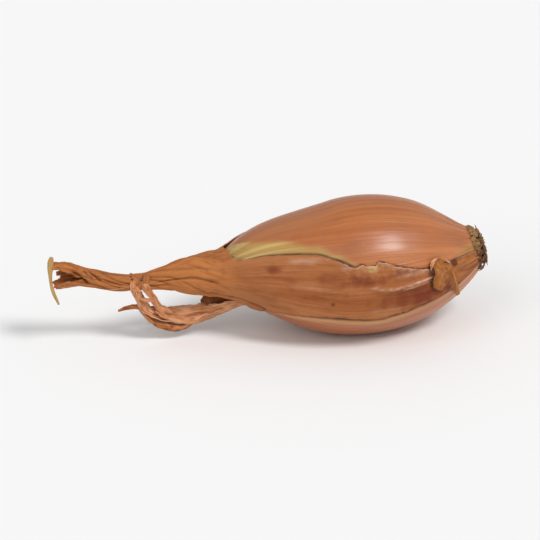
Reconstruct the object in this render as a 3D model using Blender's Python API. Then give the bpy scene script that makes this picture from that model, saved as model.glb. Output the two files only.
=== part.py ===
"""A long shallot lying on its side: the bulb, its torn outer skin with the dried neck, and the root tuft.

X runs along the shallot, with the roots at +X and the dried neck at -X. The front, where the skin is
split open, faces -Y. The shallot is modelled with its thickest part near x = 0, and moved at the end so that
the origin is under the middle of its box, level with the small flat spot that it rests on.
Lengths are in millimetres until a point is placed. Angles round the shallot are in degrees, from 0 to 360:
0 faces the front, 90 up, 180 the back and 270 down.
"""

import math
import random

import bmesh
import bpy
from mathutils import Matrix, Vector

MM = 0.001

# Driving dimensions
BULB_RADIUS = 17.8
ROOT_END = 31.0
BULB_TIP = -42.0
NECK_RADIUS = 2.2
NECK_END = -72.6
SKIN_THICKNESS = 0.8
STRIP_THICKNESS = 0.9
GAP = 0.3

# The middle line of the shallot: distance along it, and height above the surface that it lies on
SPINE_HEIGHT = (
    (-82.0, 20.8),
    (-74.0, 20.3),
    (-68.0, 18.9),
    (-62.0, 17.2),
    (-56.0, 16.9),
    (-47.0, 17.7),
    (-36.0, 17.7),
    (-24.0, 18.2),
    (-8.0, 16.95),
    (2.0, 17.2),
    (12.0, 17.5),
    (20.0, 18.0),
    (26.0, 18.8),
    (ROOT_END, 19.9),
    (ROOT_END + 5.0, 21.3),
)

# The bulb's outline from the root end to its tip, as distance along and share of the bulb's radius
BULB_OUTLINE = (
    (ROOT_END, 0.0),
    (ROOT_END, 0.15),
    (ROOT_END - 0.2, 0.26),
    (28.4, 0.39),
    (24.4, 0.57),
    (20.0, 0.73),
    (14.8, 0.87),
    (8.5, 0.965),
    (2.0, 1.0),
    (-4.5, 0.98),
    (-11.0, 0.905),
    (-17.5, 0.79),
    (-23.5, 0.66),
    (-29.0, 0.505),
    (-33.0, 0.36),
    (-36.8, 0.225),
    (-40.0, 0.12),
    (-41.6, 0.055),
    (BULB_TIP, 0.0),
)

# The dried neck's outline, from its frayed end to the shoulder where it spreads over the bulb, as radii
NECK_OUTLINE = (
    (NECK_END, 0.0),
    (NECK_END + 0.3, 1.5),
    (-70.8, 2.4),
    (-68.0, 2.5),
    (-63.5, NECK_RADIUS),
    (-57.0, NECK_RADIUS),
    (-53.0, NECK_RADIUS),
    (-49.0, 3.1),
    (-44.0, 4.6),
    (-39.0, 5.7),
    (-35.5, 6.6),
)
NECK_FLATNESS = 0.12
NECK_TWIST = 5.0
NECK_FOLDS = 5
NECK_FOLD_TWIST = 11.0
NECK_FOLD_DEPTH = 0.07

# Where the skin's outline follows the bulb's
SKIN_STATIONS = (-31.0, -26.5, -21.5, -16.5, -11.0, -5.5, 0.0, 6.0, 12.0, 17.0, 21.5, 25.5, 28.5)
SHOULDER = (-34.0, -25.0)

# The torn edges of the skin, as distance along and angle round. The upper window lies between the front's
# upper edge and the back's upper edge, and the belly window between the two lower edges.
FRONT_UPPER_EDGE = (
    (-34.0, 62.0),
    (-32.5, 46.0),
    (-28.0, 40.0),
    (-22.0, 37.5),
    (-14.0, 35.0),
    (-9.5, 30.5),
    (-6.0, 26.5),
    (-3.2, 22.0),
    (2.0, 24.5),
    (7.5, 20.0),
    (14.0, 15.5),
    (22.0, 16.0),
    (ROOT_END, 19.0),
)
BACK_UPPER_EDGE = (
    (-36.0, 118.0),
    (-31.0, 134.0),
    (-24.0, 143.0),
    (-14.0, 147.0),
    (-4.0, 143.0),
    (6.0, 146.0),
    (18.0, 152.0),
    (ROOT_END, 160.0),
)
BACK_LOWER_EDGE = (
    (-31.0, 250.0),
    (-24.0, 241.0),
    (-12.0, 229.0),
    (2.0, 224.0),
    (14.0, 228.0),
    (ROOT_END, 214.0),
)
FRONT_LOWER_EDGE = (
    (-31.0, 302.0),
    (-28.0, 317.0),
    (-22.5, 326.0),
    (-17.5, 331.5),
    (-12.5, 336.5),
    (-8.0, 339.0),
    (2.0, 337.5),
    (8.0, 339.5),
    (18.0, 343.0),
    (25.0, 350.0),
    (ROOT_END, 354.0),
)
WINDOWS = (
    ("upper_window", -34.6, FRONT_UPPER_EDGE, BACK_UPPER_EDGE),
    ("belly_window", -29.5, BACK_LOWER_EDGE, FRONT_LOWER_EDGE),
)
MOUTH_LENGTH = 5.0
TEAR_WAVE = 0.7
EDGE_LIFT = 0.55
EDGE_LIFT_SPAN = 14.0
ROOT_OPENING_RADIUS = 6.4

# The flake that has come up off the front near the roots
FLAKE_ALONG = (16.2, 22.6)
FLAKE_ROUND = (-8.0, 17.0)
FLAKE_STAND_OFF = 1.5

PLATE_RADIUS = 4.3
PLATE_THICKNESS = 1.5
ROOTLETS = 22
ROOT_SEED = 11

# How finely the solids are divided
BULB_SIDES, BULB_RINGS = 34, 26
SKIN_SIDES, SKIN_RINGS = 34, 38
WINDOW_CUTS = (20, 5, 0)
PLATE_SIDES, PLATE_RINGS = 16, 8
SHARP_ANGLE = 35.0

BULB_COLOUR = (0.44, 0.17, 0.065, 1.0)
SKIN_COLOUR = (0.36, 0.15, 0.062, 1.0)
ROOT_COLOUR = (0.25, 0.17, 0.095, 1.0)


def hermite(a, b, slope_a, slope_b, span, t):
    """The smooth curve between two values with the given slopes at its ends."""
    return (
        (2 * t**3 - 3 * t**2 + 1) * a
        + (t**3 - 2 * t**2 + t) * span * slope_a
        + (3 * t**2 - 2 * t**3) * b
        + (t**3 - t**2) * span * slope_b
    )


def smooth_step(low, high, x):
    """0 up to low, 1 from high on, and a smooth rise between. Low may be the larger one."""
    t = min(1, max(0, (x - low) / (high - low)))
    return t * t * (3 - 2 * t)


def value_at(table, x):
    """The smooth value of a table of (x, value) pairs at x. Beyond its ends the last value holds."""
    if x <= table[0][0]:
        return table[0][1]
    if x >= table[-1][0]:
        return table[-1][1]
    i = max(k for k in range(len(table) - 1) if table[k][0] <= x)

    def slope_of(k):
        before, after = table[max(k - 1, 0)], table[min(k + 1, len(table) - 1)]
        return (after[1] - before[1]) / (after[0] - before[0])

    (x0, a), (x1, b) = table[i], table[i + 1]
    return hermite(a, b, slope_of(i), slope_of(i + 1), x1 - x0, (x - x0) / (x1 - x0))


def curve_at(points, before_first, after_last, share):
    """A point on the smooth curve through points, whose ends lean as the two extra points make them."""
    rows = [before_first, *points, after_last]
    place = 1 + share * (len(points) - 1)
    i = min(int(place), len(points) - 1)
    before, a, b, after = rows[i - 1 : i + 3]
    return hermite(a, b, (b - before) / 2, (after - a) / 2, 1, place - i)


def outline_at(outline, share):
    """The (distance, radius) point of a turned outline, which meets the middle line squarely at both ends."""
    points = [Vector(p) for p in outline]
    mirror = Vector((1, -1))
    return curve_at(points, points[1] * mirror, points[-2] * mirror, share)


def path_at(points, share):
    """A point on the smooth path through points in space."""
    rows = [Vector(p) for p in points]
    return curve_at(rows, rows[0] * 2 - rows[1], rows[-1] * 2 - rows[-2], share)


BULB_PROFILE = tuple((x, share * BULB_RADIUS) for x, share in BULB_OUTLINE)
BULB_SAMPLES = tuple(outline_at(BULB_PROFILE, i / 400) for i in range(401))


def bulb_radius(x):
    """The bulb's radius at x, read from its outline."""
    return min(BULB_SAMPLES, key=lambda sample: abs(sample.x - x)).y


def spine(x):
    return Vector((x, 0, value_at(SPINE_HEIGHT, x)))


def outward(x, angle):
    """The direction away from the middle line at x, at an angle round the shallot."""
    rise = value_at(SPINE_HEIGHT, x + 0.5) - value_at(SPINE_HEIGHT, x - 0.5)
    up = Vector((-rise, 0, 1)).normalized()
    front = Vector((0, -1, 0))
    turn = math.radians(angle)
    return front * math.cos(turn) + up * math.sin(turn)


def along(x):
    """The direction of the middle line at x, towards the roots."""
    return outward(x, 90).cross(outward(x, 0))


def section(angle):
    """How far the bulb's cross-section departs from a circle at an angle round it."""
    return 1 + 0.014 * math.cos(math.radians(2 * angle - 110)) + 0.010 * math.cos(math.radians(3 * angle + 40))


def lift(x, angle):
    """How far the skin stands off the bulb beside its torn edges."""
    turn = angle % 360
    near = 0
    for _, _, first_edge, last_edge in WINDOWS:
        first, last = value_at(first_edge, x), value_at(last_edge, x)
        opened = smooth_step(first - EDGE_LIFT_SPAN, first, turn) * smooth_step(last + EDGE_LIFT_SPAN, last, turn)
        near = max(near, opened)
    fade = smooth_step(*SHOULDER, x) * smooth_step(ROOT_END - 1, ROOT_END - 9, x)
    return EDGE_LIFT * near * fade


def on_skin(x, angle, above=0.0):
    """A point on the skin's outer face over the bulb, or above it."""
    radius = bulb_radius(x) * section(angle) + GAP + SKIN_THICKNESS + lift(x, angle) + above
    return spine(x) + outward(x, angle) * radius


def mesh_object(name, bm, collection, material=None):
    bmesh.ops.recalc_face_normals(bm, faces=bm.faces)
    mesh = bpy.data.meshes.new(name)
    bm.to_mesh(mesh)
    bm.free()
    if material:
        mesh.materials.append(material)
    made = bpy.data.objects.new(name, mesh)
    collection.objects.link(made)
    return made


def turned_form(profile, sides, rings, radius_of):
    """A ball shaped into a turned form. radius_of(x, radius, angle) gives the final radius."""
    bm = bmesh.new()
    bmesh.ops.create_uvsphere(bm, u_segments=sides, v_segments=rings, radius=1)
    for vert in bm.verts:
        share = math.acos(max(-1, min(1, vert.co.z))) / math.pi
        angle = math.degrees(math.atan2(vert.co.y, vert.co.x))
        x, radius = outline_at(profile, share)
        vert.co = (spine(x) + outward(x, angle) * radius_of(x, radius, angle)) * MM
    return bm


def bent_block(cuts, place):
    """A closed block divided along its sides. place(u, v, w) maps -1 to 1 on each side to a point."""
    bm = bmesh.new()
    bmesh.ops.create_cube(bm, size=2)
    for axis, count in enumerate(cuts):
        if count:
            edges = [e for e in bm.edges if abs((e.verts[0].co - e.verts[1].co)[axis]) > 1]
            bmesh.ops.subdivide_edges(bm, edges=edges, cuts=count, use_grid_fill=True)
    for vert in bm.verts:
        vert.co = place(*vert.co) * MM
    return bm


def ribbon(points, widths, face, cuts=10, turn=0.0, last_face=None, thickness=STRIP_THICKNESS):
    """A strip of dry skin along a path. Its flat side looks along face, and by its end along last_face if given.

    It also twists by turn degrees along its length.
    """
    width_table = tuple((k / (len(widths) - 1), width) for k, width in enumerate(widths))

    def place(u, v, w):
        share = (u + 1) / 2
        heading = path_at(points, min(share + 0.02, 1)) - path_at(points, max(share - 0.02, 0))
        heading.normalize()
        flat = Vector(face).lerp(Vector(last_face or face), share**3)
        flat = (flat - heading * flat.dot(heading)).normalized()
        across = heading.cross(flat)
        twist = math.radians(turn * share)
        side = across * math.cos(twist) + flat * math.sin(twist)
        normal = flat * math.cos(twist) - across * math.sin(twist)
        half_width = value_at(width_table, share) / 2
        return path_at(points, share) + side * v * half_width + normal * w * thickness / 2

    return bent_block((cuts, 0, 0), place)


def add_boolean(target, operation, collection):
    modifier = target.modifiers.new(operation.lower(), "BOOLEAN")
    modifier.operation = operation
    modifier.operand_type = "COLLECTION"
    modifier.collection = collection
    modifier.solver = "EXACT"


def apply_modifiers(target):
    """Keeps the Booleans' result as the object's own mesh, in triangles so that it shades evenly."""
    bpy.context.view_layer.update()
    graph = bpy.context.evaluated_depsgraph_get()
    finished = bpy.data.meshes.new_from_object(target.evaluated_get(graph))
    target.modifiers.clear()
    bm = bmesh.new()
    bm.from_mesh(finished)
    bmesh.ops.dissolve_degenerate(bm, edges=bm.edges, dist=0.01 * MM)
    bmesh.ops.triangulate(bm, faces=bm.faces)
    bm.to_mesh(finished)
    bm.free()
    target.data = finished


def join_all(target, pieces, name):
    """Joins loose pieces to an object with one Boolean union, and removes them."""
    loose = bpy.data.collections.new(name)
    bpy.context.scene.collection.children.link(loose)
    for number, bm in enumerate(pieces):
        mesh_object(f"{name}_{number:02d}", bm, loose)
    add_boolean(target, "UNION", loose)
    apply_modifiers(target)
    for piece in list(loose.objects):
        bpy.data.objects.remove(piece)
    bpy.data.collections.remove(loose)


def make_bulb(collection, material):
    bm = turned_form(BULB_PROFILE, BULB_SIDES, BULB_RINGS, lambda x, radius, angle: radius * section(angle))
    geometry = [*bm.verts, *bm.edges, *bm.faces]
    cut = bmesh.ops.bisect_plane(bm, geom=geometry, plane_co=(0, 0, 0), plane_no=(0, 0, 1), clear_inner=True)
    rim = [e for e in cut["geom_cut"] if isinstance(e, bmesh.types.BMEdge)]
    bmesh.ops.contextual_create(bm, geom=rim)
    return mesh_object("bulb", bm, collection, material)


def skin_profile():
    """The outer skin's outline: the neck's, then the bulb's with the gap and the skin's thickness on it."""
    outside = GAP + SKIN_THICKNESS
    over_bulb = [(x, bulb_radius(x) + outside) for x in SKIN_STATIONS]
    end = ROOT_END + outside
    return (*NECK_OUTLINE, *over_bulb, (end, 0.26 * BULB_RADIUS), (end, 0))


def skin_radius(x, radius, angle):
    """The skin's radius: folded and flattened along the neck, and lifted at its torn edges over the bulb."""
    shoulder, narrow = SHOULDER
    dry = smooth_step(shoulder, shoulder - 16, x)
    flat = NECK_FLATNESS * math.cos(math.radians(2 * angle - 180 + NECK_TWIST * (x + 50)))
    folds = NECK_FOLD_DEPTH * math.cos(math.radians(NECK_FOLDS * angle + NECK_FOLD_TWIST * x))
    rounded = 1 + (section(angle) - 1) * smooth_step(shoulder, narrow, x)
    return radius * rounded * (1 + dry * (flat + folds)) + lift(x, angle)


def make_bulb_clearance(collection):
    """The space that the skin leaves for the bulb and a thin gap round it, running out past the skin's end."""
    past_end = ROOT_END + 2 * SKIN_THICKNESS
    middle = [(x, radius + GAP) for x, radius in BULB_PROFILE[2:-1]]
    profile = [(past_end, 0), (past_end, 0.15 * BULB_RADIUS), *middle, (BULB_TIP - GAP, 0)]
    bm = turned_form(
        profile, BULB_SIDES, BULB_RINGS, lambda x, radius, angle: radius * section(angle) + lift(x, angle)
    )
    return mesh_object("bulb_clearance", bm, collection)


def torn(x, phase):
    """The unevenness of a torn edge, in degrees."""
    return TEAR_WAVE * (math.sin(0.83 * x + phase) + 0.6 * math.sin(1.9 * x + 2 * phase))


def make_window(name, start, first_edge, last_edge, collection):
    """The torn-away part of the skin between two edges, as a cutter that opens from its narrow mouth."""
    past_end = ROOT_END + 6

    def place(u, v, w):
        x = start + (past_end - start) * (u + 1) / 2
        first = value_at(first_edge, x) + torn(x, start)
        last = value_at(last_edge, x) + torn(x, 2 * start)
        opened = math.sqrt(min(1, max(0.02, (x - start) / MOUTH_LENGTH)))
        angle = (first + last) / 2 + (last - first) / 2 * opened * v
        radius = bulb_radius(x) * 0.6 if w < 0 else bulb_radius(x) + 6
        return spine(x) + outward(x, angle) * radius

    return mesh_object(name, bent_block(WINDOW_CUTS, place), collection)


def make_root_opening(collection):
    """The round hole in the skin where the root plate comes through."""
    bm = bmesh.new()
    radius, depth = ROOT_OPENING_RADIUS, 8.0
    bmesh.ops.create_cone(bm, cap_ends=True, segments=28, radius1=radius, radius2=radius, depth=depth)
    middle = spine(ROOT_END + SKIN_THICKNESS)
    turn = Vector((0, 0, 1)).rotation_difference(along(ROOT_END))
    for vert in bm.verts:
        vert.co = (middle + turn @ vert.co) * MM
    return mesh_object("root_opening", bm, collection)


def skin_strips():
    """The torn strips of dry skin: the loop that hangs under the neck, and the frayed ends of the neck."""
    front = (0, -1, 0.3)
    hanging = [
        (-57.4, -0.5, 16.4),
        (-56.4, -1.5, 12.8),
        (-54.6, -1.0, 9.2),
        (-51.0, 0.0, 6.2),
        (-46.5, 0.7, 5.2),
        (-42.3, 0.9, 5.5),
        (-38.2, 0.6, 7.2),
        (-34.8, 0.1, 9.3),
        on_skin(-31.5, 267, 0.25),
        on_skin(-28.5, 265, 0.05),
    ]
    hanging_widths = (2.6, 2.7, 3.4, 6.0, 6.4, 6.0, 4.6, 3.6, 3.0, 2.2)
    second_leg = [
        (-54.6, -0.4, 16.8),
        (-53.2, -1.6, 13.8),
        (-51.4, -1.2, 10.4),
        (-48.6, 0.3, 7.2),
        (-45.0, 0.9, 5.6),
    ]
    side_end = [(-54.8, -0.9, 10.0), (-58.2, -0.6, 10.1), (-61.5, 0.0, 9.3)]
    upper_end = [(-68.5, -0.6, 19.8), (-72.4, -1.1, 21.7), (-75.4, -1.4, 23.2), (-78.2, -1.6, 23.3)]
    lower_end = [(-68.5, -0.6, 18.4), (-72.4, -1.0, 18.3), (-75.4, -1.2, 17.9), (-77.6, -1.3, 17.4)]
    back_end = [(-68.5, 0.9, 19.0), (-73.4, 1.7, 20.6), (-77.6, 1.8, 20.1)]
    fibre = [
        (-76.4, -1.5, 23.4),
        (-78.9, -1.9, 24.6),
        (-79.7, -2.2, 21.8),
        (-79.1, -2.4, 17.6),
        (-77.5, -2.6, 13.2),
    ]
    return [
        ribbon(hanging, hanging_widths, front, cuts=24, last_face=(0, -0.1, -1)),
        ribbon(second_leg, (2.4, 2.2, 2.0, 2.4, 2.2), front, cuts=12, turn=40),
        ribbon(side_end, (1.7, 1.6, 1.0), front, cuts=5),
        ribbon(upper_end, (3.0, 3.2, 3.0, 1.8), (0, -1, 0.5), cuts=8, turn=30),
        ribbon(lower_end, (2.6, 2.8, 2.6, 1.6), (0, -1, -0.4), cuts=8, turn=-30),
        ribbon(back_end, (2.4, 2.6, 1.6), (0, 1, 0.2), cuts=6),
        ribbon(fibre, (1.2, 1.1, 1.2, 1.1, 0.9), front, cuts=14),
    ]


def flake():
    """A leaf-shaped flake of skin, free towards the neck and rooted in the panel towards the roots."""
    (near, far), (low, high) = FLAKE_ALONG, FLAKE_ROUND

    def place(u, v, w):
        share = (u + 1) / 2
        x = near + (far - near) * share + 1.6 * v * v * (1 - share)
        angle = (low + high) / 2 + (high - low) / 2 * v * (0.7 + 0.3 * share)
        raised = FLAKE_STAND_OFF * (1 - share) ** 1.5 * (1 - 0.3 * v * v)
        return on_skin(x, angle, raised - 0.3 + w * 0.35)

    return bent_block((4, 4, 0), place)


def make_outer_skin(collection, cutters, material):
    bm = turned_form(skin_profile(), SKIN_SIDES, SKIN_RINGS, skin_radius)
    skin = mesh_object("outer_skin", bm, collection, material)
    make_bulb_clearance(cutters)
    for name, start, first_edge, last_edge in WINDOWS:
        make_window(name, start, first_edge, last_edge, cutters)
    make_root_opening(cutters)
    add_boolean(skin, "DIFFERENCE", cutters)
    apply_modifiers(skin)
    join_all(skin, [*skin_strips(), flake()], "strip")
    return skin


def root_plate():
    """The flattened button at the bulb's foot, facing along the shallot."""
    bm = bmesh.new()
    bmesh.ops.create_uvsphere(bm, u_segments=PLATE_SIDES, v_segments=PLATE_RINGS, radius=1)
    middle = spine(ROOT_END) + along(ROOT_END) * (GAP + PLATE_THICKNESS / 2)
    for vert in bm.verts:
        angle = math.degrees(math.atan2(vert.co.y, vert.co.x))
        out = math.hypot(vert.co.x, vert.co.y) ** 0.7
        deep = math.copysign(abs(vert.co.z) ** 0.6, vert.co.z) * PLATE_THICKNESS / 2
        radius = PLATE_RADIUS * out * (1 + 0.06 * math.cos(math.radians(3 * angle + 20)))
        vert.co = (middle + outward(ROOT_END, angle) * radius + along(ROOT_END) * deep) * MM
    return bm


def rootlet(draw, number):
    """One dried root: a short square wisp that leaves the plate and curls outwards."""
    angle = 360 * number / ROOTLETS + draw.uniform(-9, 9)
    start = PLATE_RADIUS * draw.uniform(0.35, 0.86)
    reach = draw.uniform(0.9, 2.2)
    height = draw.uniform(0.5, 1.5)
    swing = draw.uniform(-26, 26)
    width = draw.uniform(0.8, 1.1)
    axis = along(ROOT_END)
    foot = spine(ROOT_END) + axis * (GAP + 0.6 * PLATE_THICKNESS)
    points = [
        foot + outward(ROOT_END, angle) * (start - 0.6),
        foot + outward(ROOT_END, angle + 0.3 * swing) * (start + 0.3 * reach) + axis * 0.7 * height,
        foot + outward(ROOT_END, angle + swing) * (start + reach) + axis * height,
    ]
    return ribbon(points, (width, width, 0.65), axis, cuts=2, thickness=0.75)


def make_root_tuft(collection, material):
    draw = random.Random(ROOT_SEED)
    tuft = mesh_object("root_tuft", root_plate(), collection, material)
    join_all(tuft, [rootlet(draw, number) for number in range(ROOTLETS)], "rootlet")
    return tuft


def make_material(name, colour, roughness):
    material = bpy.data.materials.new(name)
    material.use_nodes = True
    shader = material.node_tree.nodes["Principled BSDF"]
    shader.inputs["Base Color"].default_value = colour
    shader.inputs["Roughness"].default_value = roughness
    shader.inputs["Metallic"].default_value = 0.0
    return material


def centre_on_box(pieces):
    """Moves the meshes so that the middle of the box round them all is at x = 0 and y = 0."""
    points = [vert.co for piece in pieces for vert in piece.data.vertices]
    middle = [(min(p[i] for p in points) + max(p[i] for p in points)) / 2 for i in (0, 1)]
    for piece in pieces:
        piece.data.transform(Matrix.Translation((-middle[0], -middle[1], 0)))


def clear_scene():
    for thing in list(bpy.data.objects):
        bpy.data.objects.remove(thing)


def main():
    clear_scene()
    shallot = bpy.data.collections.new("shallot")
    cutters = bpy.data.collections.new("cutters")
    for collection in (shallot, cutters):
        bpy.context.scene.collection.children.link(collection)
    make_bulb(shallot, make_material("bulb_skin", BULB_COLOUR, 0.38))
    make_outer_skin(shallot, cutters, make_material("dry_skin", SKIN_COLOUR, 0.6))
    make_root_tuft(shallot, make_material("dry_roots", ROOT_COLOUR, 0.85))
    centre_on_box(shallot.objects)
    for cutter in cutters.objects:
        cutter.hide_render = True
        cutter.display_type = "WIRE"
    for piece in shallot.objects:
        piece.data.shade_smooth()
        piece.data.set_sharp_from_angle(angle=math.radians(SHARP_ANGLE))


main()
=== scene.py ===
"""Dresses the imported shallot: its satin bulb, the torn papery skin over it, the dried neck and the roots.

Lengths are in millimetres along the shallot as it was modelled, with the bulb's tip at BULB_TIP and its
root end at ROOT_END. Angles round it are in degrees: 0 faces the front, 90 up, 180 the back and 270 down.
in_frame turns such a point into the frame's metres.
"""

import math
import random
from bisect import bisect_right

import bmesh
import bpy
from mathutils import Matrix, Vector, noise


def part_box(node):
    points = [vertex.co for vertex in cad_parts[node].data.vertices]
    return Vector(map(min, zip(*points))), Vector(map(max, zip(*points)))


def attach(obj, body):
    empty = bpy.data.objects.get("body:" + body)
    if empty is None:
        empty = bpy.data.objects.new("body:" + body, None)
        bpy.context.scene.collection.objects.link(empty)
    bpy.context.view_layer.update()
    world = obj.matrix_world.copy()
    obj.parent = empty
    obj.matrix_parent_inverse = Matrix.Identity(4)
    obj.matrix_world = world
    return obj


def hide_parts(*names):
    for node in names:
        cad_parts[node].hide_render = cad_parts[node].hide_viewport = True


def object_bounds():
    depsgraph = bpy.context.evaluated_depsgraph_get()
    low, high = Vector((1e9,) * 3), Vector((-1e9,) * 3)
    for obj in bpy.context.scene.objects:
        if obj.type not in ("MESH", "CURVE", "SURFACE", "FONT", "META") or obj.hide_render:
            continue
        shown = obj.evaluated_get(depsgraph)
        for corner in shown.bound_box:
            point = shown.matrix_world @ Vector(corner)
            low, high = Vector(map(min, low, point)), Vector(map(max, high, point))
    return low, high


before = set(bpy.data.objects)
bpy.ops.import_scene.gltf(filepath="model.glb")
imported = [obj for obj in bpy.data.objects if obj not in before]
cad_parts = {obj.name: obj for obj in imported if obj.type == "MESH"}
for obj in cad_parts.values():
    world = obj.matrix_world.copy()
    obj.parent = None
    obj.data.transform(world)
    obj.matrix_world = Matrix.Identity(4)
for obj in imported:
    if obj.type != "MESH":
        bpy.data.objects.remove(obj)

CAD_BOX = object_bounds()

MM = 0.001
BULB_RADIUS = 17.8
ROOT_END = 31
BULB_TIP = -42
TO_FRAME = Vector((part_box("bulb")[0].x / MM - BULB_TIP, 0, 0))


def in_frame(point):
    return (point + TO_FRAME) * MM


def ramp(low, high, x):
    """0 up to low, 1 from high on, and a smooth rise between. Low may be the larger one."""
    t = min(1, max(0, (x - low) / (high - low)))
    return t * t * (3 - 2 * t)


def hill(middle, reach, x):
    """1 at the middle, falling smoothly to 0 at reach from it."""
    return ramp(reach, 0, abs(x - middle))


def mixed(a, b, share):
    return a + (b - a) * share


def cosine(degrees):
    return math.cos(math.radians(degrees))


def sine(degrees):
    return math.sin(math.radians(degrees))


def turn_from(start, angle):
    """The turn from one angle to another, from -180 to 180 degrees."""
    return (angle - start + 180) % 360 - 180


def wobble(x, y, z):
    """Smooth noise from -1 to 1 at a place."""
    return noise.noise(Vector((x, y, z)))


def hermite(a, b, slope_a, slope_b, span, t):
    """The smooth curve between two values with the given slopes at its ends."""
    return (
        (2 * t**3 - 3 * t**2 + 1) * a
        + (t**3 - 2 * t**2 + t) * span * slope_a
        + (3 * t**2 - 2 * t**3) * b
        + (t**3 - t**2) * span * slope_b
    )


class Curve:
    """A smooth curve through (distance, value) points. Beyond its ends the last value holds."""

    def __init__(self, *points):
        self.points = points
        self.places = [place for place, _ in points]
        self.known = {}

    def __call__(self, x):
        if x not in self.known:
            self.known[x] = self.read(x)
        return self.known[x]

    def slope(self, k):
        before, after = self.points[max(k - 1, 0)], self.points[min(k + 1, len(self.points) - 1)]
        return (after[1] - before[1]) / (after[0] - before[0])

    def read(self, x):
        if x <= self.places[0]:
            return self.points[0][1]
        if x >= self.places[-1]:
            return self.points[-1][1]
        i = bisect_right(self.places, x) - 1
        (x0, a), (x1, b) = self.points[i], self.points[i + 1]
        return hermite(a, b, self.slope(i), self.slope(i + 1), x1 - x0, (x - x0) / (x1 - x0))


# The middle line: distance along it, and height above the surface that the shallot lies on
MIDDLE_HEIGHT = Curve(
    (-82, 20.8), (-74, 20.3), (-68, 18.9), (-62, 17.2), (-56, 16.9), (-47, 17.7), (-36, 17.7),
    (-24, 18.2), (-8, 16.95), (2, 17.2), (12, 17.5), (20, 18), (26, 18.8), (ROOT_END, 19.9),
    (ROOT_END + 5, 21.3),
)

# The bulb's outline from the root end to its tip, as distance along and share of the bulb's radius
BULB_OUTLINE = (
    (ROOT_END, 0), (ROOT_END, 0.15), (ROOT_END - 0.2, 0.26), (28.4, 0.39), (24.4, 0.57), (20, 0.73),
    (14.8, 0.87), (8.5, 0.965), (2, 1), (-4.5, 0.98), (-11, 0.905), (-17.5, 0.79), (-23.5, 0.66),
    (-29, 0.505), (-33, 0.36), (-36.8, 0.225), (-40, 0.12), (-41.6, 0.055), (BULB_TIP, 0),
)

# The dried neck's radius, from its frayed end to the shoulder where it spreads over the bulb
NECK_RADIUS = Curve(
    (-79, 3.6), (-75.8, 3.1), (-72.6, 2.7), (-68.8, 2.35), (-63.5, 2.15), (-57, 2.15), (-53, 2.3),
    (-49, 3.1), (-44, 4.6), (-39, 5.7), (-35.5, 6.6), (-31, 8.6),
)

# The torn edges of the papery skin, as distance along and angle round
FRONT_UPPER_EDGE = Curve(
    (-34, 62), (-33, 50), (-30.5, 42), (-23, 37.7), (-16.3, 36), (-12.8, 34.5), (-9.6, 30.5),
    (-6.2, 26.6), (-3.5, 22.8), (-1.8, 24.4), (-0.3, 22), (1.6, 22), (2.5, 25), (5.4, 22), (7.5, 20),
    (14.3, 15), (22, 16.5), (28, 20),
)
BACK_UPPER_EDGE = Curve(
    (-36, 118), (-31, 134), (-24, 143), (-14, 147), (-4, 143), (6, 146), (18, 152), (ROOT_END, 160),
)
BACK_LOWER_EDGE = Curve((-31, 250), (-24, 241), (-12, 229), (2, 224), (14, 228), (ROOT_END, 214))
FRONT_LOWER_EDGE = Curve(
    (-31, 302), (-28, 317), (-22.8, 325.6), (-17.6, 331), (-12.8, 336.5), (-8.1, 339.5), (2, 337.2),
    (7.3, 339.7), (12.5, 341.7), (18.1, 342.4), (25, 343), (ROOT_END, 345.5),
)
# The two windows torn in the skin: where each begins, the length over which it opens, its edges and a seed
UPPER_WINDOW = (-34.4, 1.6, FRONT_UPPER_EDGE, BACK_UPPER_EDGE, 1.5)
BELLY_WINDOW = (-29.5, 5, BACK_LOWER_EDGE, FRONT_LOWER_EDGE, 4.5)

# How far the skin's outer face stands off the bulb: in the middle of a panel, and at its torn edges
PANEL_STAND_OFF = 0.75
UPPER_EDGE_STAND_OFF = Curve(
    (-35, 1), (-32.5, 1.3), (-28, 1.15), (-20, 1), (-12, 1), (-6, 0.8), (0, 0.55), (8, 0.5), (16, 0.55),
    (28, 0.6),
)
LOWER_EDGE_STAND_OFF = Curve((-31, 1.4), (-24, 1.4), (-14, 1.3), (4, 1.3), (14, 1.1), (22, 0.9), (30, 0.8))
# The unevenness of the torn edges, in degrees
RAGGEDNESS = Curve((-34, 1.4), (-27, 0.7), (-12, 0.9), (-6, 1.8), (4, 2.1), (12, 1.7), (20, 2), (30, 1.5))
# The edges of the panel that is turned to the back lie closer
BACK_EDGE_SHARE = 0.6

# Stains of the dry skin: distance along, angle round, reach along and round, and strength
STAINS = (
    (-24, 22, 2.8, 7, 0.9),
    (-21, 11, 4.5, 5, 0.3),
    (-10.5, 16, 5.5, 6, 0.4),
    (-3.4, 12.5, 5, 7.5, 0.75),
    (0.8, 10.5, 4.6, 6, 0.75),
    (7.5, 13.5, 5.5, 5, 0.45),
    (8, -7, 9.5, 11, 0.85),
    (11, -1, 8, 4.5, 0.8),
    (14.5, -9, 9, 12, 1.3),
    (19.5, -4, 4.5, 10, 1),
    (-14, -4, 7, 4, 0.25),
    (-5, 176, 7, 12, 0.6),
    (14, 200, 6, 9, 0.5),
    (-17, 205, 6, 9, 0.35),
    (21, 176, 6, 8, 0.5),
    (-20, 160, 5, 7, 0.4),
)
# Folds of the panels that catch the light, painted paler as painted highlights, given as the stains are
PALE_FOLDS = (
    (-17, 30, 7.5, 4.5, 0.4),
    (-15, 5, 8.5, 2.6, 0.22),
    (-6, 22.5, 3.5, 3, 0.35),
    (4, -15, 8, 2.2, 0.18),
    (10.5, 12.5, 6.5, 3, 0.3),
    (-13, 172, 11, 3.4, 0.4),
    (3, 162, 9, 3, 0.35),
    (10, 188, 10, 3.2, 0.35),
    (-7, 204, 10, 3, 0.3),
)
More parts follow.
